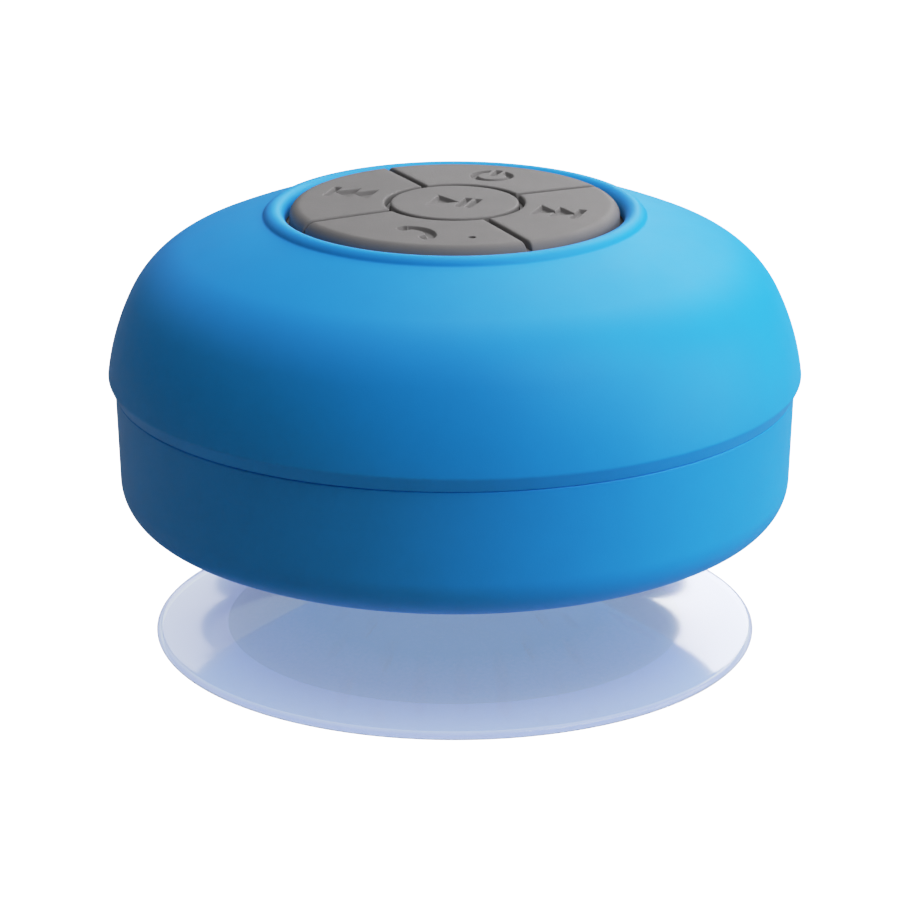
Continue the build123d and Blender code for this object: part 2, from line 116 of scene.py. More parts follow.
# Suction cup
CUP_RIM = ((37.1, 0.0), (37.8, 0.5), (37.3, 1.05))
CUP_BACK = (58.1, 1.0, 32.0)  # radius and slopes of the flared back
CUP_NECK = (3.2, 32.0, 90.0)
CUP_LIP = (57.0, 2.0, 13.0)  # underside: flared like the back, then a shallow dome
CUP_LIP_START = (36.9, 0.0)
CUP_FROST_AND_SHADE_R = 28.8  # the hollow is finely frosted out to here, and its painted shade pales out to here

# Driver's suspension
SECTORS = 12  # number of sectors that the suspension is made of
SECTOR_STEPS = 8
SECTOR_FILL = 0.999  # share of its angle that a sector fills
SPIDER_RADII = (6.6, 7.6, 8.4, 9.2, 10.0, 10.8, 11.6, 12.4, 13.2, 14.0, 14.6, 16.0)
SPIDER_LEVELS = (28.4, 28.4, 28.5, 28.2, 28.5, 28.2, 28.5, 28.2, 28.5, 28.2, 28.35, 28.35)
SPIDER_HALF = 0.12  # half the cloth's thickness
ROLL = (19.95, 23.4)  # centre of the surround's half roll
ROLL_R = (1.05, 1.35)
ROLL_EDGES = (17.6, 23.4)  # inner and outer edge of its flanges
ROLL_TOP = 23.8

# Stage, in metres
CAMERA_TURN = radians(19)  # the camera stands this far round from -Y towards +X
CAMERA_PITCH = radians(18.88)
CAMERA_PLACE = (0.452, 0.17675)  # distance from the object's axis, and height
CAMERA_LENS = 148.9
CAMERA_SHIFT = 0.0057
TO_CAMERA = Vector((sin(CAMERA_TURN), -cos(CAMERA_TURN), 0))
TO_RIGHT = Vector((cos(CAMERA_TURN), sin(CAMERA_TURN), 0))
LAMP_DISTANCE = 0.6
LAMP_TARGET = Vector((0, 0, 0.03))
FLOOR_HALF = 3.0
FLOOR_Z = -0.0001
WHITE = 3.0  # brightness of the plain white behind the object
PLAINNESS = 0.95  # how much of the floor's shadow the white hides
PAPER = 0.36  # grey of the floor as the object is lit by it
CUP_GLOW = 0.80  # what the paper adds where it is seen through the cup
ROOM = (0.015, 0.6)  # brightness of the room, directly and through the cup
# Tone curve, from the light's brightness to the brightness shown
TONES = ((0.2, 0.205), (0.5, 0.5), (0.8, 0.665), (1.1, 0.76), (1.4, 0.825), (1.9, 0.91))
TONE_END = (2.6, 1.0)


# --- outlines ---------------------------------------------

def inward(point, slope, distance):
    """A point of an outline that runs clockwise at this slope, moved into the body."""
    angle = radians(slope)
    return (point[0] - sin(angle) * distance, point[1] - cos(angle) * distance)


def tangent_arcs(start, slope, arcs, inset=0.0, step=1.2):
    """Points along arcs that turn clockwise one after another, moved in by inset."""
    centre_side = inward(start, slope, inset)
    points = [centre_side]
    for radius, turn in arcs:
        centre = inward(points[-1], slope, radius - inset)
        count = max(3, int(turn / step))
        for i in range(1, count + 1):
            angle = slope + turn * i / count
            points.append(inward(centre, angle, inset - radius))
        slope += turn
    return points


def arc(centre, radius, start, end, count):
    """Points on a circle from one angle to another, in degrees."""
    angles = [radians(start + (end - start) * i / count) for i in range(count + 1)]
    return [(centre[0] + radius * cos(a), centre[1] + radius * sin(a)) for a in angles]


def through(first, middle, last, count):
    """Points of the arc through three points."""
    (ax, ay), (bx, by), (cx, cy) = first, middle, last
    d = 2 * (ax * (by - cy) + bx * (cy - ay) + cx * (ay - by))
    a2, b2, c2 = ax * ax + ay * ay, bx * bx + by * by, cx * cx + cy * cy
    centre = (
        (a2 * (by - cy) + b2 * (cy - ay) + c2 * (ay - by)) / d,
        (a2 * (cx - bx) + b2 * (ax - cx) + c2 * (bx - ax)) / d,
    )
    radius = hypot(ax - centre[0], ay - centre[1])
    start = degrees(atan2(ay - centre[1], ax - centre[0]))
    middle_at = degrees(atan2(by - centre[1], bx - centre[0]))
    end = degrees(atan2(cy - centre[1], cx - centre[0]))
    turn = (end - start) % 360
    if (middle_at - start) % 360 > turn:
        turn -= 360
    return arc(centre, radius, start, start + turn, count)


def soften(corners, count=5):
    """Closed outline from (x, y, radius) corners, with an arc at each corner that has a radius."""
    points = []
    total = len(corners)
    for i, (x, y, radius) in enumerate(corners):
        if not radius:
            points.append((x, y))
            continue
        here = Vector((x, y))
        before = (Vector(corners[i - 1][:2]) - here).normalized()
        after = (Vector(corners[(i + 1) % total][:2]) - here).normalized()
        half = before.angle(after) / 2
        bisector = (before + after).normalized()
        centre = here + bisector * radius / sin(half)
        first = here + before * radius / tan(half) - centre
        last = here + after * radius / tan(half) - centre
        turn = pi - 2 * half
        side = 1 if first.x * last.y - first.y * last.x > 0 else -1
        base = atan2(first.y, first.x)
        for k in range(count + 1):
            angle = base + side * turn * k / count
            points.append((centre.x + radius * cos(angle), centre.y + radius * sin(angle)))
    return points


def plain(points):
    """Points of a curve as corners that soften leaves alone."""
    return [(x, y, 0) for x, y in points]


# --- meshes -----------------------------------------------

def add_object(name, data):
    """New object in the scene."""
    made = bpy.data.objects.new(name, data)
    bpy.context.scene.collection.objects.link(made)
    return made


def smooth(mesh):
    """Smooth shading between the sharp edges."""
    for polygon in mesh.polygons:
        polygon.use_smooth = True
    mesh.set_sharp_from_angle(angle=SHARP)


def finish_mesh(bm, name):
    """Object from a bmesh drawn in millimetres."""
    bmesh.ops.remove_doubles(bm, verts=bm.verts, dist=1e-5)
    bmesh.ops.recalc_face_normals(bm, faces=bm.faces)
    bmesh.ops.scale(bm, vec=(MM, MM, MM), verts=bm.verts)
    mesh = bpy.data.meshes.new(name)
    bm.to_mesh(mesh)
    bm.free()
    smooth(mesh)
    return add_object(name, mesh)


def lathe_mesh(bm, outline, count, place=(0.0, 0.0)):
    """Adds a closed outline of (radius, height) turned about a vertical axis."""
    rings = []
    for radius, height in outline:
        if radius < 1e-6:
            rings.append([bm.verts.new((place[0], place[1], height))])
            continue
        ring = []
        for i in range(count):
            turn = 2 * pi * i / count
            x, y = place[0] + radius * cos(turn), place[1] + radius * sin(turn)
            ring.append(bm.verts.new((x, y, height)))
        rings.append(ring)
    for low, high in zip(rings, rings[1:] + rings[:1]):
        for i in range(count):
            j = (i + 1) % count
            if len(low) == 1 and len(high) == 1:
                break
            if len(low) == 1:
                bm.faces.new((low[0], high[i], high[j]))
            elif len(high) == 1:
                bm.faces.new((low[i], high[0], low[j]))
            else:
                bm.faces.new((low[i], high[i], high[j], low[j]))


def loft_mesh(bm, rows):
    """Adds faces between closed rows of vertices, and across the first and the last."""
    for low, high in zip(rows, rows[1:]):
        for i in range(len(low)):
            j = (i + 1) % len(low)
            bm.faces.new((low[i], low[j], high[j], high[i]))
    bm.faces.new(rows[0])
    bm.faces.new(rows[-1])


def lathe(name, outline, count=AROUND, place=(0.0, 0.0)):
    """Object turned from a closed outline."""
    bm = bmesh.new()
    lathe_mesh(bm, outline, count, place)
    return finish_mesh(bm, name)


def spots(radius, angles):
    """Places in plan on a circle."""
    return [(radius * cos(radians(a)), radius * sin(radians(a))) for a in angles]


def combine(piece, tool, operation):
    """Exact boolean of a piece with a tool, which is used up."""
    modifier = piece.modifiers.new("cut", "BOOLEAN")
    modifier.operation = operation
    modifier.solver = "EXACT"
    modifier.object = tool
    depsgraph = bpy.context.evaluated_depsgraph_get()
    mesh = bpy.data.meshes.new_from_object(piece.evaluated_get(depsgraph))
    piece.modifiers.clear()
    old = piece.data
    piece.data = mesh
    bpy.data.meshes.remove(old)
    tool_mesh = tool.data
    bpy.data.objects.remove(tool)
    bpy.data.meshes.remove(tool_mesh)
    smooth(piece.data)


def dress(piece, body, slot, *nodes):
    """Gives a piece its body, its slot, the slot's finish and the nodes that it stands for."""
    piece.data.materials.clear()
    piece.data.materials.append(finishes[slot])
    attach(piece, body)
    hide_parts(*nodes)


# --- materials --------------------------------------------

def socket(key):
    """Input name of a shader socket written as a Python name."""
    return key.replace("_", " ").title().replace("Ior", "IOR")


def add_node(tree, kind, **values):
    """New shader node, with values for its inputs."""
    made = tree.nodes.new("ShaderNode" + kind)
    for key, value in values.items():
        made.inputs[socket(key)].default_value = value
    return made


def add_math(tree, operation, first, second):
    """Result of a sum on an output and a number or another output."""
    made = add_node(tree, "Math")
    made.operation = operation
    tree.links.new(first, made.inputs[0])
    if isinstance(second, float):
        made.inputs[1].default_value = second
    else:
        tree.links.new(second, made.inputs[1])
    return made.outputs[0]


def mix_shaders(tree, amount, first, second):
    """The first shader where the amount is 0 and the second where it is 1."""
    made = add_node(tree, "MixShader")
    tree.links.new(amount, made.inputs["Fac"])
    tree.links.new(first, made.inputs[1])
    tree.links.new(second, made.inputs[2])
    return made.outputs["Shader"]


class Shader:
    """A node material under construction, with object coordinates in millimetres."""

    def __init__(self, name):
        self.material = bpy.data.materials.new(name)
        self.material.use_nodes = True
        self.tree = self.material.node_tree
        self.principled = self.tree.nodes["Principled BSDF"]
        coordinates = self.add("TexCoord")
        scale = self.add("Mapping", scale=(1 / MM, 1 / MM, 1 / MM))
        self.link(coordinates.outputs["Object"], scale.inputs["Vector"])
        self.place = scale.outputs["Vector"]

    def add(self, kind, **values):
        return add_node(self.tree, kind, **values)

    def link(self, source, target):
        self.tree.links.new(source, target)

    def set(self, **values):
        """Constants on the shader's own sockets."""
        for key, value in values.items():
            self.principled.inputs[socket(key)].default_value = value

    def noise(self, size, detail=3.0, roughness=0.55, stretch=None):
        """Noise whose features are about size millimetres."""
        made = self.add("TexNoise", scale=1 / size, detail=detail, roughness=roughness)
        source = self.place
        if stretch:
            mapping = self.add("Mapping", scale=stretch)
            self.link(self.place, mapping.inputs["Vector"])
            source = mapping.outputs["Vector"]
        self.link(source, made.inputs["Vector"])
        return made.outputs["Fac"]

    def radius(self, near, far):
        """0 at one distance from the object's axis and 1 at another."""
        flat = self.add("VectorMath")
        flat.operation = "MULTIPLY"
        flat.inputs[1].default_value = (1, 1, 0)
        self.link(self.place, flat.inputs[0])
        length = self.add("VectorMath")
        length.operation = "LENGTH"
        self.link(flat.outputs["Vector"], length.inputs[0])
        made = self.add("MapRange", from_min=near, from_max=far)
        self.link(length.outputs["Value"], made.inputs["Value"])
        return made.outputs["Result"]

    def ramp(self, source, *stops):
        """Colour ramp from (position, colour) stops."""
        made = self.add("ValToRGB")
        while len(made.color_ramp.elements) < len(stops):
            made.color_ramp.elements.new(0.5)
        for element, (position, colour) in zip(made.color_ramp.elements, stops):
            element.position = position
            element.color = (*colour, 1.0)
        self.link(source, made.inputs["Fac"])
        return made.outputs["Color"]

    def span(self, source, low, high):
        """Maps 0..1 to low..high."""
        made = self.add("MapRange", to_min=low, to_max=high)
        self.link(source, made.inputs["Value"])
        return made.outputs["Result"]

    def bump(self, source, distance, strength=1.0):
        """Bump of a height in millimetres."""
        made = self.add("Bump", strength=strength, distance=distance * MM)
        self.link(source, made.inputs["Height"])
        return made.outputs["Normal"]

    def feed(self, **sources):
        """Links outputs to the shader's sockets."""
        for key, source in sources.items():
            self.link(source, self.principled.inputs[socket(key)])

    def done(self, colour, patches, roughness, height, depth, **constants):
        """The material, once it has a colour, a patchy roughness, a bump and its constants."""
        roughness = self.span(patches, *roughness)
        self.feed(base_color=colour, roughness=roughness, normal=self.bump(height, depth))
        self.set(**constants)
        return self.material


def shade(colour, factor):
    """Darker or lighter colour."""
    return tuple(c * factor for c in colour)


def silicone(name, colour, roughness, variation=0.05, grain=0.012):
    """Matte moulded silicone: fine grain, a little mottling, cloudy roughness."""
    s = Shader(name)
    cloud = s.noise(14.0, 4.0)
    tint = s.ramp(cloud, (0.3, shade(colour, 1 - variation)), (0.7, shade(colour, 1 + variation)))
    return s.done(
        tint, s.noise(5.0, 5.0), (roughness - 0.05, roughness + 0.05), s.noise(0.16, 2.0, 0.6), grain,
        specular_ior_level=0.22, sheen_weight=0.02, sheen_roughness=0.35,
    )


def moulded(name, colour, roughness=0.45, grain=0.01):
    """Injection-moulded plastic."""
    s = Shader(name)
    tint = s.ramp(s.noise(8.0, 3.0), (0.3, shade(colour, 0.94)), (0.7, shade(colour, 1.04)))
    return s.done(
        tint, s.noise(2.5, 4.0), (roughness - 0.06, roughness + 0.06), s.noise(0.25, 2.0), grain
    )


def metal(name, colour, roughness):
    """Plated or bare metal with fine streaks."""
    s = Shader(name)
    streaks = s.noise(1.2, 6.0, 0.6, (1.0, 1.0, 12.0))
    tint = s.ramp(streaks, (0.25, shade(colour, 0.85)), (0.75, shade(colour, 1.05)))
    return s.done(
        tint, s.noise(0.8, 4.0), (roughness - 0.08, roughness + 0.1), streaks, 0.004, metallic=1.0
    )


# --- skin with the bead and the lip -----------------------

def bead_points():
    """From the bead's inner side over its crest and through its hollow foot to the dome."""
    slope = radians(DOME_SLOPE)
    along = (cos(slope), -sin(slope))
    base = inward(DOME_START, DOME_SLOPE, -BEAD_FOOT_R)
    away = (base[0] - BEAD[0], base[1] - BEAD[1])
    half = away[0] * along[0] + away[1] * along[1]
    reach = sqrt(half * half - (away[0] ** 2 + away[1] ** 2) + (BEAD_R + BEAD_FOOT_R) ** 2) - half
    foot = (base[0] + along[0] * reach, base[1] + along[1] * reach)
    joint = degrees(atan2(foot[1] - BEAD[1], foot[0] - BEAD[0]))
    crest = arc(BEAD, BEAD_R, 180, joint, 22)
    hollow = arc(foot, BEAD_FOOT_R, 180 + joint, 270 - DOME_SLOPE, 10)
    return crest + hollow[1:]


def make_skin():
    """Silicone skin from the bead over the dome to the lip."""
    bead = bead_points()
    dome = [p for p in tangent_arcs(DOME_START, DOME_SLOPE, DOME_ARCS) if p[0] > bead[-1][0] + 0.2]
    slope = radians(DOME_SLOPE + sum(turn for _, turn in DOME_ARCS))
    lip_r = dome[-1][0] + (dome[-1][1] - SEAM_Z) / tan(slope)
    inside = tangent_arcs(DOME_START, DOME_SLOPE, DOME_ARCS[:3], SKIN, 4.0)
    corners = plain(bead + dome)
    corners += [(lip_r, SEAM_Z, 0.14), (inside[-1][0], SEAM_Z, 0.1)]
    corners += plain(reversed(inside)) + [(BEAD[0] - BEAD_R, inside[0][1], 0)]
    skin = lathe("skin", soften(corners))
    dress(skin, "housing", "blue_silicone", "top_skin")


# --- keys -------------------------------------------------

def box_at(x, y, centre, size, corner=0.12):
    """Signed distance to a rectangle with rounded corners."""
    dx = abs(x - centre[0]) - size[0] / 2 + corner
    dy = abs(y - centre[1]) - size[1] / 2 + corner
    return hypot(max(dx, 0), max(dy, 0)) + min(max(dx, dy), 0) - corner


def triangle_at(x, y, left, right, half):
    """Signed distance to a triangle from an upright left side to a tip on the right."""
    length = hypot(right - left, half)
    side = ((x - left) * half + (abs(y) - half) * (right - left)) / length
    return max(left - x, side)


def skip_at(x, y):
    """Two triangles and a bar."""
    return min(
        triangle_at(x, y, -2.75, -0.35, 2.05),
        triangle_at(x, y, -0.4, 2.05, 2.05),
        box_at(x, y, (2.45, 0), (0.75, 4.1)),
    )


def play_at(x, y):
    """Triangle and two bars."""
    bars = min(box_at(x, y, (1.1, 0), (0.7, 4.0)), box_at(x, y, (2.4, 0), (0.7, 4.0)))
    return min(triangle_at(x, y, -2.75, 0.3, 2.05), bars)


def power_at(x, y):
    """Broken circle with a bar in its gap."""
    circle = abs(hypot(x, y) - 2.25) - 0.36
    return min(max(circle, -box_at(x, y, (0, 2.4), (2.1, 2.6))), box_at(x, y, (0, 1.5), (0.72, 2.8)))


def call_at(x, y):
    """Telephone handset: a bow with two thick ends, tilted."""
    tilt = radians(35)
    u = x * cos(tilt) - y * sin(tilt)
    v = x * sin(tilt) + y * cos(tilt) + 2.6
    bow = max(abs(hypot(u, v) - 3.05) - 0.55, 1.7 - v, abs(u) - 2.7)
    ends = box_at(abs(u), v, (2.3, 1.5), (1.5, 1.4), 0.4)
    return min(bow, ends)


def crown(x, y):
    """Height of the keypad's top."""
    return KEYPAD_TOP - (x * x + y * y) / (2 * CROWN_R)


def rounded(distance, radius):
    """Drop of a rounded edge at a distance from its side."""
    if distance >= radius:
        return 0.0
    return radius - sqrt(max(radius ** 2 - (radius - distance) ** 2, 0))


def sink(distance):
    """Depth of a symbol at a signed distance from its outline."""
    t = min(max(0.5 - distance / SYMBOL_SLOPE, 0), 1)
    return SYMBOL_DEPTH * t * t * (3 - 2 * t)


def edge_steps(radius, count):
    """Distances from a side at which its rounded edge is divided evenly."""
    return [radius * (1 - sin(pi / 2 * i / count)) for i in range(count, -1, -1)]


def levels(start, *spans):
    """Rising values through (end, pitch) spans."""
    values = [start]
    for end, pitch in spans:
        first = values[-1]
        count = max(1, round((end - first) / pitch))
        values += [first + (end - first) * i / count for i in range(1, count + 1)]
    return values


def close_key(bm, rim, place):
    """Side walls from a top's rim down to the underside, with the nub that presses the switch."""
    low = [bm.verts.new((v.co.x, v.co.y, KEY_BOTTOM)) for v in rim]
    for i in range(len(rim)):
        j = (i + 1) % len(rim)
        bm.faces.new((rim[i], rim[j], low[j], low[i]))
    bm.faces.new(low)
    top = KEY_BOTTOM + 0.2
    nub = [(0, top, 0), (NUB_R, top, 0), (NUB_R, NUB_BOTTOM, 0.3), (0, NUB_BOTTOM, 0)]
    lathe_mesh(bm, soften(nub), 48, place)


def play_key():
    """Round middle key, with rows fine enough for its symbol."""
    count = 360
    radii = levels(SYMBOL_PITCH, (3.6, SYMBOL_PITCH), (PLAY_R - KEY_EDGE, PLAIN_PITCH))
    radii += [PLAY_R - d for d in reversed(edge_steps(KEY_EDGE, 6)[:-1])]
    bm = bmesh.new()
    middle = bm.verts.new((0, 0, KEYPAD_TOP - sink(play_at(0, 0))))
    rings = []
    for radius in radii:
        row = []
        for i in range(count):
            x, y = radius * cos(2 * pi * i / count), radius * sin(2 * pi * i / count)
            z = crown(x, y) - rounded(PLAY_R - radius, KEY_EDGE) - sink(play_at(x, y))
            row.append(bm.verts.new((x, y, z)))
        rings.append(row)
    for i in range(count):
        j = (i + 1) % count
        bm.faces.new((middle, rings[0][i], rings[0][j]))
        for low, high in zip(rings, rings[1:]):
            bm.faces.new((low[i], high[i], high[j], low[j]))
    close_key(bm, rings[-1], (0.0, 0.0))
    return finish_mesh(bm, "play_key")


def outer_key(name, angle, symbol_at, symbol):
    """Key between two diagonal grooves; symbol_at is the signed distance of the symbol at a place."""
    inner = PLAY_R + GROOVE
    turn = radians(angle)
    side = edge_steps(KEY_EDGE, 5)
    radii = [inner + d for d in side]
    plain_end = (KEYPAD_R - OUTER_EDGE, PLAIN_PITCH)
    radii += levels(inner + KEY_EDGE, (10.4, 0.3), (17.0, SYMBOL_PITCH), plain_end)[1:]
    radii += [KEYPAD_R - d for d in reversed(edge_steps(OUTER_EDGE, 14)[:-1])]
    fine = radians(16.0)               # on each side of the key's middle, where its symbol is
    bm = bmesh.new()
    grid = []
    for radius in radii:
        row = []
        reach = pi / 4 - asin((GROOVE / 2 + KEY_EDGE) / radius)
        half = [(a, KEY_EDGE) for a in levels(0.0, (fine, radians(0.25)))]
        half += [(a, KEY_EDGE) for a in levels(fine, (reach, (reach - fine) / 14))[1:]]
        half += [(pi / 4 - asin((GROOVE / 2 + d) / radius), d) for d in reversed(side[:-1])]
        for a, d in [(-a, d) for a, d in reversed(half[1:])] + half:
            x, y = radius * cos(turn + a), radius * sin(turn + a)
            z = crown(x, y) - rounded(d, KEY_EDGE) - rounded(radius - inner, KEY_EDGE)
            z -= rounded(KEYPAD_R - radius, OUTER_EDGE)
            z -= sink(symbol_at(x - symbol[0], y - symbol[1]))
            row.append(bm.verts.new((x, y, z)))
        grid.append(row)
    for low, high in zip(grid, grid[1:]):
        for i in range(len(low) - 1):
            bm.faces.new((low[i], high[i], high[i + 1], low[i + 1]))
    left, right = [row[0] for row in grid[-2:0:-1]], [row[-1] for row in grid[1:-1]]
    rim = grid[0] + right + grid[-1][::-1] + left
    close_key(bm, rim, (SWITCH_R * cos(turn), SWITCH_R * sin(turn)))
    return finish_mesh(bm, name)


def make_keys():
    """The five keys, and the microphone's hole in the call key."""
    layout = {
        "next": (0, skip_at, (SYMBOL_R - 0.3, -0.2)),
        "power": (90, power_at, (0.2, SYMBOL_R)),
        "previous": (180, lambda x, y: skip_at(-x, y), (-SYMBOL_R, 0.2)),
        "call": (270, call_at, (0.7, -SYMBOL_R)),
    }
    keys = {"play": play_key()}
    for name, (angle, symbol_at, place) in layout.items():
        keys[name] = outer_key(name + "_key", angle, symbol_at, place)
    hole = [(0, 50), (MIC_R, 50), (MIC_R, 55.4), (MIC_R + 0.12, 55.75), (MIC_R + 0.12, 57), (0, 57)]
    combine(keys["call"], lathe("mic_hole", hole, 48, MIC_AT), "DIFFERENCE")
    for name, key in keys.items():
        dress(key, "key_" + name, "grey_silicone", "key_" + name)


# --- rear cover -------------------------------------------

def cover_outline(inset, step):
    """The cover's outside or its inside, from the seam to the base."""
    arcs = tangent_arcs(COVER_WAIST, COVER_SLOPE, COVER_ARCS, inset, step)
    return [(COVER_TOP[0] - inset, COVER_TOP[1])] + arcs


def hole_mesh(bm, place, face, radius, above, count):
    """Adds a hole from below, with a rounded mouth at the face, then through the places above."""
    mouth = arc((radius + MOUTH, face + MOUTH), MOUTH, 270, 180, 4)
    below = [(0, face - 1), (radius + MOUTH, face - 1)]
    lathe_mesh(bm, below + mouth + above, count, place)


def rod_mesh(bm, place, radius, low, high, count):
    """Adds an upright cylinder, for a post or a bore."""
    lathe_mesh(bm, [(0, low), (radius, low), (radius, high), (0, high)], count, place)


def around_wall(across, radius):
    """Plan position at a distance across the charging side, measured round the wall."""
    angle = across / HINGE_WRAP
    return (radius * sin(angle), radius * cos(angle))


def rounded_rectangle(left, right, low, high, corner, count=8):
    """Closed outline in the plane of the wall."""
    places = ((right, high, 0), (left, high, 90), (left, low, 180), (right, low, 270))
    points = []
    for x, z, start in places:
        cx = x - corner if x == right else x + corner
        cz = z - corner if z == high else z + corner
        points += arc((cx, cz), corner, start, start + 90, count)
    return points


def wall_prism(bm, sections):
    """Closed solid through equal outlines, each at its own radius from the object's axis.

    A long side of an outline is divided, so that it follows the wall's curve."""
    rows = []
    for radius, outline in sections:
        divided = []
        for (ax, az), (bx, bz) in zip(outline, outline[1:] + outline[:1]):
            count = max(1, int(abs(bx - ax) / 0.7))
            divided += [(ax + (bx - ax) * i / count, az + (bz - az) * i / count) for i in range(count)]
        rows.append([bm.verts.new((*around_wall(x, radius), z)) for x, z in divided])
    loft_mesh(bm, rows)


def smooth_faces(piece):
    """Large faces keep their own normals beside small rounded ones."""
    modifier = piece.modifiers.new("normals", "WEIGHTED_NORMAL")
    modifier.keep_sharp = True
    modifier.weight = 60


def cover_posts():
    """Posts inside the rear cover: for its own screws, for the driver and for the charging board.

    Each set starts at its own level inside the floor, so that no two faces coincide."""
    bm = bmesh.new()
    for place in spots(*SHELL_SCREWS):
        rod_mesh(bm, place, 3.3, 15.6, 28.0, 48)
    for place in spots(*DRIVER_SCREWS):
        rod_mesh(bm, place, 2.4, 15.4, 23.8, 40)
    for place in CHARGE_SCREWS:
        rod_mesh(bm, place, 1.9, 15.2, 24.2, 40)
    return finish_mesh(bm, "posts")


def cover_cutters():
    """Sound holes and the holes of the screws."""
    bm = bmesh.new()
    for radius, count in SOUND_HOLES:
        for place in spots(radius, [i * 360 / count for i in range(count)]):
            hole_mesh(bm, place, BASE_Z, SOUND_HOLE_R, [(SOUND_HOLE_R, 17.0), (0, 17.0)], 40)
    for place in spots(*SHELL_SCREWS):
        counterbore = [(2.4, 17.6), (1.45, 17.6), (1.45, 29), (0, 29)]
        hole_mesh(bm, place, BASE_Z + 0.2, 2.4, counterbore, 48)
    for place in spots(*RETAINER_SCREWS):
        rod_mesh(bm, place, 0.85, 15.5, 19, 32)
    for place in spots(*DRIVER_SCREWS):
        rod_mesh(bm, place, 0.85, 17.5, 25, 32)
    for place in CHARGE_SCREWS:
        rod_mesh(bm, place, 0.75, 18, 25.5, 32)
    return finish_mesh(bm, "holes")


def recess_outline(grow):
    """Outline of the flap's recess, widened by grow."""
    low, high = FLAP_Z
    wide = FLAP_GAP + grow
    left, right = FLAP_LEFT - wide, RECESS_RIGHT + grow
    return rounded_rectangle(left, right, low - wide, high + wide, 1.4 + grow)


def recess_cutter():
    """Recess of the flap, with a rounded edge where it meets the wall."""
    bm = bmesh.new()
    sections = ((41.15, 0.0), (41.8, 0.0), (41.93, 0.04), (42.02, 0.12), (42.1, 0.25), (44.0, 0.25))
    wall_prism(bm, [(radius, recess_outline(grow)) for radius, grow in sections])
    return finish_mesh(bm, "recess")


def socket_outline(width, height, corner):
    """Rounded rectangle round the socket's middle."""
    half_x, half_z = width / 2, height / 2
    return rounded_rectangle(-half_x, half_x, SOCKET_Z - half_z, SOCKET_Z + half_z, corner, 4)


def window_cutter():
    """Window over the socket, with a bevelled edge."""
    bm = bmesh.new()
    outline = socket_outline(*WINDOW, 0.5)
    wide = socket_outline(WINDOW[0] + 0.4, WINDOW[1] + 0.4, 0.7)
    wall_prism(bm, [(37.0, outline), (40.95, outline), (41.15, wide), (41.4, wide)])
    return finish_mesh(bm, "window")


def hinge_cutter():
    """Groove of the flap's bead and the bore of its pin."""
    low, high = FLAP_Z
    outline = [
        (0, low - 0.8), (0.41, low - 0.8), (0.41, low + 0.2), (1.0, low + 0.2),
        (1.0, high - 0.2), (0.41, high - 0.2), (0.41, high + 0.8), (0, high + 0.8),
    ]
    bm = bmesh.new()
    lathe_mesh(bm, outline, 48, HINGE)
    return finish_mesh(bm, "hinge_groove")


def make_cover():
    """Rear cover: walls with the seats of the cup, the mesh and the seal, then posts and cuts."""
    outside = cover_outline(0.0, 1.2)
    inside = cover_outline(WALL, 5.0)
    floor = inside[-1][1]
    ring_r, ring_top = RETAINER[1] + 0.2, RETAINER[3]
    corners = [(*outside[0], 0.25)] + plain(outside[1:])
    corners += [(ring_r, BASE_Z, 0.2), (ring_r, ring_top, 0.0), (7.2, ring_top, 0.2)]
    corners += [(7.2, 20.4, 0.0), (0, 20.4, 0.0), (0, 21.6, 0.0), (8.8, 21.6, 0.3), (8.8, 19.4, 0.0)]
    corners += [(13.0, 19.4, 0.3), (13.0, floor, 0.0), (21.6, floor, 0.0), (21.6, 22.6, 0.1)]
    corners += [(23.4, 22.6, 0.1), (23.4, floor, 0.0)] + plain(reversed(inside[1:]))
    corners += [(40.3, 31.5, 0.0), (40.5, 31.7, 0.0), (41.3, 31.7, 0.0), (41.3, COVER_TOP[1], 0.1)]
    cover = lathe("rear_cover", soften(corners))
    combine(cover, cover_posts(), "UNION")
    for cutter in (cover_cutters, recess_cutter, window_cutter, hinge_cutter):
        combine(cover, cutter(), "DIFFERENCE")
    smooth_faces(cover)
    dress(cover, "housing", "blue_cover", "lower_shell")


# --- retainer, screws, cup --------------------------------

def make_retainer():
    """Ring that holds the cup, with a rounded rim and three countersunk holes."""
    inner, outer, low, high = RETAINER
    corners = [(inner, high, 0.15), (inner, low, 0.5), (outer, low, 0.45), (outer, high, 0.0)]
    ring = lathe("retainer", soften(corners, 6), 256)
    bm = bmesh.new()
    for place in spots(*RETAINER_SCREWS):
        hole_mesh(bm, place, low, 1.9, [(1.9, 15.0), (1.1, 15.0), (1.1, 17), (0, 17)], 48)
    combine(ring, finish_mesh(bm, "retainer_holes"), "DIFFERENCE")
    smooth_faces(ring)
    dress(ring, "housing", "blue_cover", "cup_retainer")


def cross_cutter(bm, place, face, reach, width, depth, turn):
    """Tapered cross recess, sunk upwards from a screw's face."""
    rows = []
    for level, scale in ((face - 0.3, 1.0), (face, 1.0), (face + depth, 0.45)):
        r, w = reach * scale, width / 2 * (0.5 + 0.5 * scale)
        arm = [(r, -w), (r, w), (w, w)]
        row = []
        for quarter in QUARTERS:
            spin = Matrix.Rotation(radians(turn + quarter), 2)
            row += [bm.verts.new((*(Vector(place) + spin @ Vector(p)), level)) for p in arm]
        rows.append(row)
    loft_mesh(bm, rows)


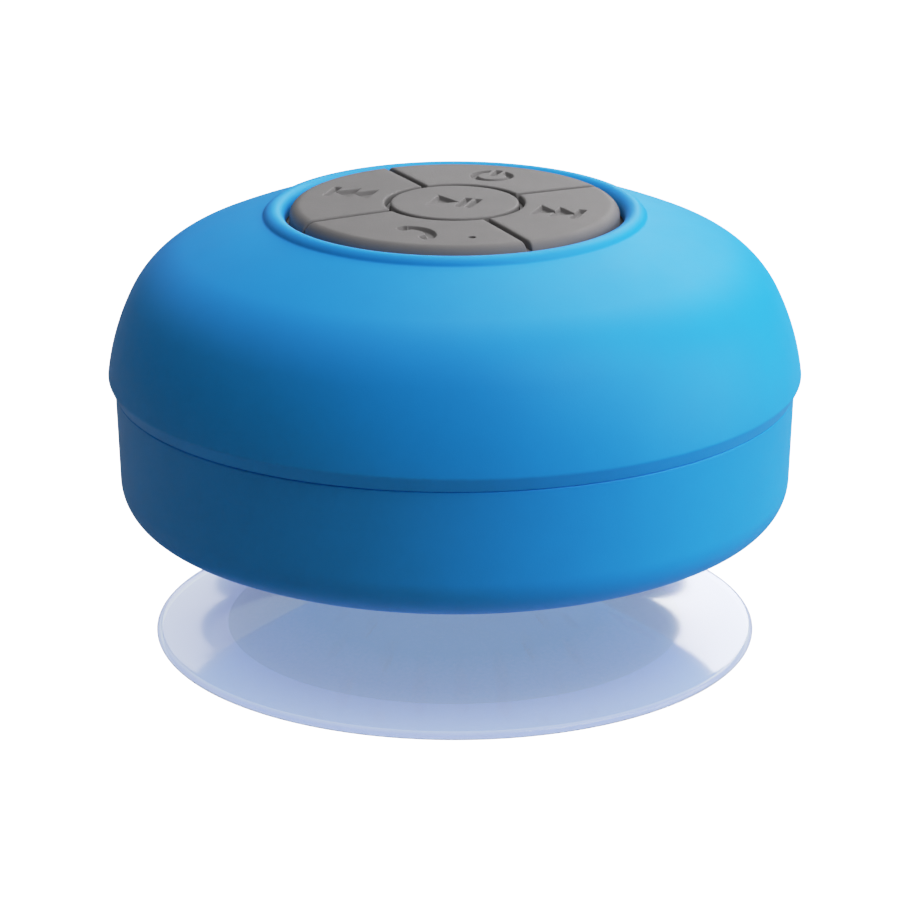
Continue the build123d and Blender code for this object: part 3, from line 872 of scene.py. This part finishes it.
def make_screws(name, node, places, head, shank):
    """Screws that point up: domed head with a cross recess, threaded shank, point."""
    head_r, face, top = head
    shank_r, end = shank
    bm = bmesh.new()
    for place in places:
        crown_points = [(0, face)] + [
            (head_r * sin(pi / 2 * i / 10), face + 0.75 * (top - face) * (1 - cos(pi / 2 * i / 10)))
            for i in range(1, 11)
        ]
        core = shank_r - 0.18
        thread = []
        level = top + 0.3
        while level + 0.6 < end - 1.2:
            thread += [(core, level), (core, level + 0.2)]
            thread += [(shank_r, level + 0.4), (core, level + 0.6)]
            level += 0.6
        outline = crown_points + [(head_r, top), (shank_r, top), (core, top + 0.2)] + thread
        outline += [(core, end - 0.7), (0.15, end), (0, end)]
        lathe_mesh(bm, outline, 48, place)
    piece = finish_mesh(bm, name)
    bm = bmesh.new()
    for i, place in enumerate(places):
        cross_cutter(bm, place, face, head_r * 0.62, head_r * 0.24, (top - face) * 0.62, 20 + 37 * i)
    combine(piece, finish_mesh(bm, "crosses"), "DIFFERENCE")
    dress(piece, "housing", "screw_steel", node)


def rising(start, radius, slope, end, count):
    """Points of an arc that runs inwards and bends upwards between two slopes."""
    angles = [radians(slope + (end - slope) * i / count) for i in range(count + 1)]
    return [
        (start[0] - radius * (sin(a) - sin(angles[0])), start[1] + radius * (cos(angles[0]) - cos(a)))
        for a in angles
    ]


def make_cup(frosted, edge):
    """Clear cup with its stem and head, frosted in the middle of its hollow, which is painted dark
    blue as the body's shade and reflection.
    """
    rim = [(r, max(z, 0.0)) for r, z in through(*CUP_RIM, 14)]
    back = rising(CUP_RIM[2], *CUP_BACK, 60)
    neck = rising(back[-1], *CUP_NECK, 18)
    lip = rising(CUP_LIP_START, *CUP_LIP, 24)
    dome_r = lip[-1][0] / sin(radians(CUP_LIP[2]))
    dome_top = lip[-1][1] + dome_r * (1 - cos(radians(CUP_LIP[2])))
    dome = arc((0.0, dome_top - dome_r), dome_r, 90, 90 - CUP_LIP[2], 36)
    stem_r = neck[-1][0]
    corners = plain(rim[:-1] + back[:-1] + neck)
    corners += [(stem_r, 13.3, 0.25), (4.6, 13.3, 0.0), (4.6, 16.6, 0.3), (6.8, 16.6, 0.25)]
    corners += [(6.8, 19.0, 0.4), (6.0, 19.8, 0.4), (0, 19.8, 0)]
    corners += plain(dome[:-1] + lip[::-1])
    cup = lathe("cup", soften(corners), 360)
    dress(cup, "cup", "clear_cup", "suction_cup")
    cup.data.materials.append(frosted)
    cup.data.materials.append(edge)
    for polygon in cup.data.polygons:
        x, y, z = polygon.center / MM
        if polygon.normal.z < -0.5 and z < dome_top + 0.1 and hypot(x, y) < CUP_FROST_AND_SHADE_R:
            polygon.material_index = 1
        if hypot(x, y) > CUP_RIM[0][0]:
            polygon.material_index = 2


# --- driver's suspension ----------------------------------

def spider_outline():
    """Corrugated disc."""
    low = [(r, z - SPIDER_HALF) for r, z in zip(SPIDER_RADII, SPIDER_LEVELS)]
    high = [(r, z + SPIDER_HALF) for r, z in zip(SPIDER_RADII, SPIDER_LEVELS)]
    return low + high[::-1]


def roll_outline():
    """Half roll that hangs towards the wall, with a flat flange on each side."""
    near, far = ROLL_EDGES
    inner = arc(ROLL, ROLL_R[0], 180, 360, 20)
    outer = arc(ROLL, ROLL_R[1], 360, 180, 20)
    top = [(near, ROLL_TOP), (inner[0][0], ROLL_TOP)]
    side = [(inner[-1][0], ROLL_TOP), (far, ROLL_TOP), (far, ROLL[1])]
    return top + inner + side + outer + [(near, ROLL[1])]


def make_suspension(name, slot, node, outline):
    """Ring made of separate sectors, reaching from the cone inside one radius to the housing outside
    another.
    """
    half = SECTOR_FILL * pi / SECTORS
    for index in range(SECTORS):
        middle = 2 * pi * index / SECTORS
        bm = bmesh.new()
        rings = []
        for step in range(SECTOR_STEPS + 1):
            angle = middle + half * (2 * step / SECTOR_STEPS - 1)
            rings.append([bm.verts.new((r * cos(angle), r * sin(angle), z)) for r, z in outline])
        loft_mesh(bm, rings)
        piece = finish_mesh(bm, f"{name}_{index + 1}")
        piece.data.materials.append(finishes[slot])
        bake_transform(piece)
        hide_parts(node)


# --- charging flap ----------------------------------------

def make_flap():
    """Curved flap with rounded edges, a ribbed plug and the bead round its pin."""
    low, high = FLAP_Z
    bm = bmesh.new()
    sections = [(41.25, 0.15), (41.35, 0.03), (41.45, 0.0), (42.0, 0.0)]
    for i in range(1, 7):
        t = pi / 2 * i / 6
        sections.append((42.0 + 0.33 * sin(t), 0.33 * (1 - cos(t))))
    sections.append((42.34, 1.0))
    wall_prism(bm, [
        (radius, rounded_rectangle(FLAP_LEFT + s, HINGE[0] - s, low + s, high - s, max(1.2 - s, 0.25)))
        for radius, s in sections
    ])
    plate = finish_mesh(bm, "flap")
    bm = bmesh.new()
    plug = []
    for y, size_x, size_z in (
        (39.1, 9.0, 4.7), (39.25, 9.4, 5.1), (39.9, 9.6, 5.3), (40.1, 9.95, 5.65), (40.3, 9.95, 5.65),
        (40.5, 9.7, 5.4), (40.9, 9.8, 5.5), (41.5, 10.2, 5.9),
    ):
        plug.append([bm.verts.new((x, y, z)) for x, z in socket_outline(size_x, size_z, 0.6)])
    loft_mesh(bm, plug)
    combine(plate, finish_mesh(bm, "plug"), "UNION")
    bead = [(0, low + 0.4, 0), (0.75, low + 0.4, 0.15), (0.75, high - 0.4, 0.15), (0, high - 0.4, 0)]
    combine(plate, lathe("bead", soften(bead), 48, HINGE), "UNION")
    bore = [(0, low - 1), (0.46, low - 1), (0.46, high + 1), (0, high + 1)]
    combine(plate, lathe("bore", bore, 32, HINGE), "DIFFERENCE")
    smooth_faces(plate)
    dress(plate, "socket_flap", "blue_silicone", "usb_cover")


# --- finishes of the inner parts --------------------------

def circuit_board(name):
    """Green solder mask over faint tracks."""
    s = Shader(name)
    cells = s.add("TexVoronoi", scale=0.55)
    cells.feature = "DISTANCE_TO_EDGE"
    cells.distance = "MANHATTAN"
    s.link(s.place, cells.inputs["Vector"])
    track, mask = (0.05, 0.30, 0.14), (0.015, 0.14, 0.06)
    tracks = s.ramp(
        cells.outputs["Distance"],
        (0.0, track), (0.06, track), (0.09, mask), (1.0, (0.02, 0.17, 0.075)),
    )
    s.feed(
        base_color=tracks,
        roughness=s.span(s.noise(3.0), 0.25, 0.4),
        normal=s.bump(cells.outputs["Distance"], 0.02, 0.4),
    )
    return s.material


def woven(name, dark, light, pitch):
    """Cloth or mesh: two crossed sets of threads, with painted shade between them."""
    s = Shader(name)
    threads = []
    for direction in ("X", "Y"):
        wave = s.add("TexWave", scale=0.314 / pitch, distortion=0.15)
        wave.bands_direction = direction
        s.link(s.place, wave.inputs["Vector"])
        threads.append(wave.outputs["Fac"])
    both = add_math(s.tree, "MAXIMUM", *threads)
    # painted shade: the colour is darker where the threads are low, between them
    tint = s.ramp(both, (0.4, dark), (0.9, light))
    return s.done(tint, s.noise(1.5), (0.72, 0.88), both, 0.08)


def winding(name, colour):
    """Enamelled wire wound round a vertical axis, with painted shade in the grooves between turns."""
    s = Shader(name)
    wave = s.add("TexWave", scale=1.6)
    wave.bands_direction = "Z"
    s.link(s.place, wave.inputs["Vector"])
    turns = wave.outputs["Fac"]
    # painted shade: the grooves between the turns are darkened to about a third
    tint = s.ramp(turns, (0.1, shade(colour, 0.35)), (0.7, colour))
    return s.done(tint, s.noise(1.0), (0.2, 0.35), turns, 0.06, metallic=1.0)


def foil(name, colour):
    """Crumpled foil pouch, with painted shade in its creases."""
    s = Shader(name)
    creases = s.noise(4.0, 6.0, 0.5)
    # painted shade: the foil is darker where its creases are low
    tint = s.ramp(creases, (0.3, shade(colour, 0.8)), (0.7, colour))
    return s.done(tint, s.noise(2.0), (0.22, 0.4), creases, 0.35, metallic=0.9)


def cellular(name, colour):
    """Closed-cell foam, with painted shade in its cells and a painted highlight on their walls."""
    s = Shader(name)
    voronoi = s.add("TexVoronoi", scale=2.5)
    s.link(s.place, voronoi.inputs["Vector"])
    cells = voronoi.outputs["Distance"]
    # painted shade in the pits of the cells and a painted highlight on their walls
    tint = s.ramp(cells, (0.0, shade(colour, 0.5)), (0.8, shade(colour, 1.3)))
    return s.done(tint, s.noise(1.0), (0.85, 1.0), cells, 0.15)


def clear_vinyl(name, near, far, roughness, grain, gloss, speckle=0.02):
    """Soft clear plastic whose colour runs between two (radius, colour) stops; in the cup's frosted
    middle that colour is painted shade.

    grain is the size and depth of its surface's unevenness, gloss the weight of its shiny coat and
    speckle the unevenness of its colour. Lamps shine through it, so it casts only a faint shadow."""
    s = Shader(name)
    specks = s.span(s.noise(0.5, 3.0, 0.7), -speckle, speckle)
    tone = add_math(s.tree, "ADD", s.radius(near[0], far[0]), specks)
    s.feed(
        roughness=s.span(s.noise(6.0, 4.0), *roughness),
        normal=s.bump(s.noise(grain[0], 2.0), grain[1]),
        base_color=s.ramp(tone, (0.0, near[1]), (1.0, far[1])),
    )
    s.set(transmission_weight=1.0, ior=1.05, specular_ior_level=0.5)
    s.set(coat_weight=gloss, coat_roughness=0.08, coat_ior=1.5)
    clear = s.add("BsdfTransparent", color=(0.90, 0.92, 0.97, 1.0))
    path = s.add("LightPath")
    sides = s.principled.outputs["BSDF"], clear.outputs["BSDF"]
    mixed = mix_shaders(s.tree, path.outputs["Is Shadow Ray"], *sides)
    s.link(mixed, s.tree.nodes["Material Output"].inputs["Surface"])
    return s.material


BLUE = (0.012, 0.350, 0.95)
GREY = (0.184, 0.178, 0.179)

def plain_name(material):
    """A material's name without the number that Blender gives to a second one of that name."""
    return material.name.split(".")[0]


finishes = {plain_name(made): made for made in (
    silicone("blue_silicone", BLUE, 0.52, 0.03),
    silicone("blue_cover", shade(BLUE, 0.99), 0.5, 0.03),
    silicone("grey_silicone", GREY, 0.6, 0.06, 0.03),
    clear_vinyl(
        "clear_cup", (27.0, (0.40, 0.47, 0.75)), (36.5, (0.56, 0.66, 0.93)),
        (0.02, 0.06), (9.0, 0.03), 1.0,
    ),
    moulded("white_plastic", (0.78, 0.78, 0.75)),
    circuit_board("circuit_board"),
    moulded("black_plastic", (0.03, 0.03, 0.032), 0.5),
    metal("nickel", (0.72, 0.70, 0.66), 0.25),
    silicone("black_rubber", (0.03, 0.03, 0.03), 0.6, 0.1),
    metal("screw_steel", (0.60, 0.60, 0.62), 0.3),
    foil("battery_foil", (0.70, 0.71, 0.73)),
    cellular("foam", (0.06, 0.06, 0.06)),
    woven("black_mesh", (0.004, 0.004, 0.004), (0.04, 0.04, 0.04), 0.35),
    moulded("black_steel", (0.03, 0.03, 0.03), 0.35, 0.02),
    metal("zinc_steel", (0.62, 0.62, 0.60), 0.35),
    moulded("ferrite", (0.08, 0.08, 0.08), 0.6, 0.05),
    metal("aluminium_former", (0.75, 0.75, 0.76), 0.25),
    winding("copper_wire", (0.72, 0.35, 0.16)),
    silicone("black_cone", (0.04, 0.04, 0.05), 0.45, 0.1, 0.03),
    woven("spider_cloth", (0.35, 0.22, 0.07), (0.68, 0.50, 0.20), 0.4),
    moulded("lead_wire", (0.55, 0.04, 0.03), 0.35),
)}
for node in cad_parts.values():
    for place in node.material_slots:
        place.material = finishes[plain_name(place.material)]


# --- object -----------------------------------------------

make_skin()
make_keys()
make_cover()
make_retainer()
make_cup(
    clear_vinyl(
        # painted shade and painted reflection: the frosted middle is dark blue for the body's shadow
        # and blue reflection, darkest towards the axis
        "frosted_vinyl_painted_shade", (18.0, (0.19, 0.32, 0.44)), (CUP_FROST_AND_SHADE_R, (0.32, 0.40, 0.53)),
        (0.3, 0.4), (0.25, 0.012), 0.1, 0.5,
    ),
    clear_vinyl(
        "rim_vinyl", (37.15, (0.84, 0.94, 1.0)), (37.8, (0.50, 0.58, 1.0)),
        (0.1, 0.2), (0.5, 0.004), 0.5,
    ),
)
make_flap()
make_screws("cover_screws", "shell_screws", spots(*SHELL_SCREWS), SHELL_SCREW_HEAD, SHELL_SCREW_SHANK)
make_screws(
    "ring_screws", "retainer_screws", spots(*RETAINER_SCREWS),
    RETAINER_SCREW_HEAD, RETAINER_SCREW_SHANK,
)
make_suspension("spider", "spider_cloth", "driver_spider", spider_outline())
make_suspension("surround", "black_rubber", "driver_surround", roll_outline())


# --- stage ------------------------------------------------

def backdrop_material():
    """Plain white to the camera, pale grey as it lights the object, and clear from below."""
    material = bpy.data.materials.new("floor_white")
    material.use_nodes = True
    tree = material.node_tree
    tree.nodes.clear()
    paper = add_node(tree, "BsdfDiffuse", color=(PAPER, PAPER, PAPER, 1))
    glow = add_node(tree, "Emission", color=(1, 1, 1, 1), strength=WHITE)
    path = add_node(tree, "LightPath").outputs
    part = add_math(tree, "MULTIPLY", path["Is Camera Ray"], PLAINNESS)
    white = mix_shaders(tree, part, paper.outputs["BSDF"], glow.outputs["Emission"])
    seen = add_math(tree, "MINIMUM", path["Transmission Depth"], 1.0)
    lift = add_node(tree, "Emission")
    tree.links.new(add_math(tree, "MULTIPLY", seen, CUP_GLOW), lift.inputs["Strength"])
    lifted = add_node(tree, "AddShader")
    tree.links.new(white, lifted.inputs[0])
    tree.links.new(lift.outputs["Emission"], lifted.inputs[1])
    below = add_node(tree, "NewGeometry").outputs["Backfacing"]
    gone = add_node(tree, "BsdfTransparent")
    sides = mix_shaders(tree, below, lifted.outputs["Shader"], gone.outputs["BSDF"])
    tree.links.new(sides, add_node(tree, "OutputMaterial").inputs["Surface"])
    return material


def make_floor():
    """Plain pale floor just under the cup."""
    bm = bmesh.new()
    bmesh.ops.create_grid(bm, x_segments=8, y_segments=8, size=FLOOR_HALF)
    mesh = bpy.data.meshes.new("floor")
    bm.to_mesh(mesh)
    bm.free()
    floor = add_object("floor", mesh)
    floor.location.z = FLOOR_Z
    floor.data.materials.append(backdrop_material())


def make_world():
    """White behind the object, a dim pale room for its light and reflections."""
    world = bpy.data.worlds.new("room")
    bpy.context.scene.world = world
    world.use_nodes = True
    tree = world.node_tree
    room = tree.nodes["Background"]
    room.inputs["Color"].default_value = (1, 1, 1, 1)
    path = add_node(tree, "LightPath").outputs
    strength = add_node(tree, "MapRange", to_min=ROOM[0], to_max=ROOM[1])
    tree.links.new(path["Transmission Depth"], strength.inputs["Value"])
    tree.links.new(strength.outputs["Result"], room.inputs["Strength"])
    white = add_node(tree, "Background", color=(1, 1, 1, 1), strength=WHITE)
    sides = room.outputs["Background"], white.outputs["Background"]
    mixed = mix_shaders(tree, path["Is Camera Ray"], *sides)
    tree.links.new(mixed, tree.nodes["World Output"].inputs["Surface"])


def lamp(name, azimuth, elevation, power, size):
    """Square soft light. Azimuth 0 is the camera's side and 90 is on its right."""
    turn, rise = radians(azimuth), radians(elevation)
    flat = TO_CAMERA * cos(turn) + TO_RIGHT * sin(turn)
    away = flat * cos(rise) + Vector((0, 0, sin(rise)))
    light = bpy.data.lights.new(name, "AREA")
    light.shape = "SQUARE"
    light.size = size
    light.energy = power
    made = add_object(name, light)
    made.location = LAMP_TARGET + away * LAMP_DISTANCE
    made.rotation_euler = away.to_track_quat("Z", "Y").to_euler()
    made.visible_transmission = False


def make_camera():
    """Camera that looks slightly down on the object from its front right."""
    data = bpy.data.cameras.new("camera")
    data.lens = CAMERA_LENS
    data.sensor_width = 36.0
    data.shift_x = CAMERA_SHIFT
    camera = add_object("camera", data)
    camera.location = TO_CAMERA * CAMERA_PLACE[0] + Vector((0, 0, CAMERA_PLACE[1]))
    look = -TO_CAMERA * cos(CAMERA_PITCH) - Vector((0, 0, sin(CAMERA_PITCH)))
    camera.rotation_euler = look.to_track_quat("-Z", "Y").to_euler()
    bpy.context.scene.camera = camera


def develop():
    """Plain colours with a soft shoulder, as a camera gives them."""
    view = bpy.context.scene.view_settings
    view.view_transform = "Standard"
    view.use_curve_mapping = True
    mapping = view.curve_mapping
    mapping.use_clip = False
    for curve in mapping.curves[:3]:
        curve.points[1].location = TONE_END
        for spot in TONES:
            curve.points.new(*spot)
    mapping.update()


make_floor()
make_world()
lamp("front_right", 58, 44, 2.07, 0.36)
lamp("low_right", 87, 6, 2.75, 0.42)
lamp("back_right", 148, 42, 2.02, 0.36)
lamp("top_back", 150, 72, 0.85, 0.3)
lamp("top_front", 320, 74, 0.3, 0.4)
lamp("back_left", 212, 30, 0.16, 0.4)
lamp("left", 262, 50, 0.21, 0.5)
lamp("low_back", 172, 18, 0.3, 0.12)
lamp("low_back_left", 187, 18, 0.05, 0.1)
make_camera()
develop()
